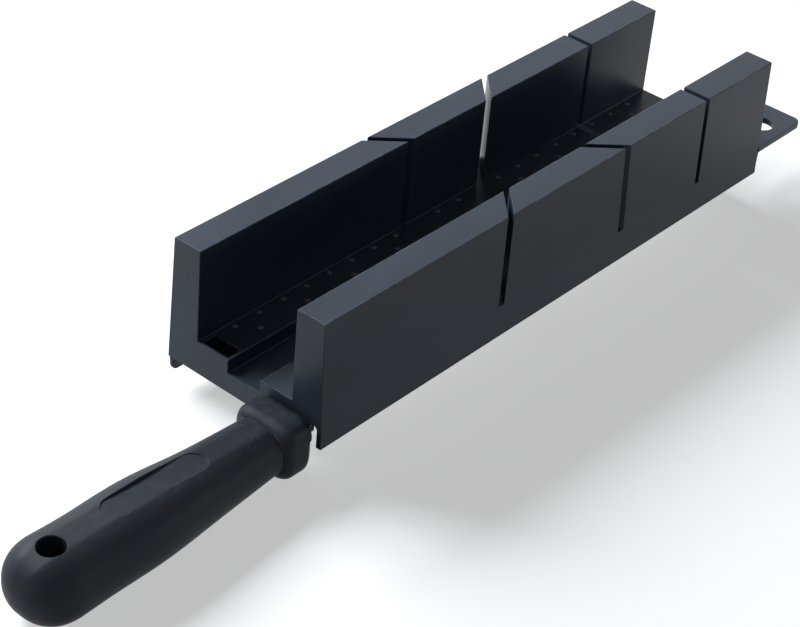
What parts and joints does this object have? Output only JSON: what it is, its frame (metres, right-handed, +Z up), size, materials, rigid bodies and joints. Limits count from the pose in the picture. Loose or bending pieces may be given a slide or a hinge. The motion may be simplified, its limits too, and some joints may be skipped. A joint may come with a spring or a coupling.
{
  "type": "mitre box with saw",
  "caption": "Plastic mitre box with crossed mitre cuts, a square cut, a bench lip and a hanging lug, with a straight-handled saw slid into a bay under it.",
  "frame": {"origin": "centre of the box's base, in the plane that rests on the bench", "axes": "+Y along the box from the saw's handle to the hanging lug, +Z up out of the channel, +X to the side of the saw bay"},
  "size_m": [0.084, 0.4756, 0.0735],
  "materials": {
    "box_plastic": "satin moulded, blue-black, lightly scuffed",
    "handle_plastic": "satin moulded, black",
    "blade_steel": "ground sheet",
    "spine_steel": "folded sheet"
  },
  "bodies": {
    "box": {"mitre_box": "box_plastic"},
    "saw": {"saw_handle": "handle_plastic", "saw_blade": "blade_steel", "saw_spine": "spine_steel"}
  },
  "joints": [
    {"name": "saw_slide", "type": "slide", "parent": "box", "child": "saw", "axis": [0, -1, 0], "range_m": [0, 0.3]}
  ]
}
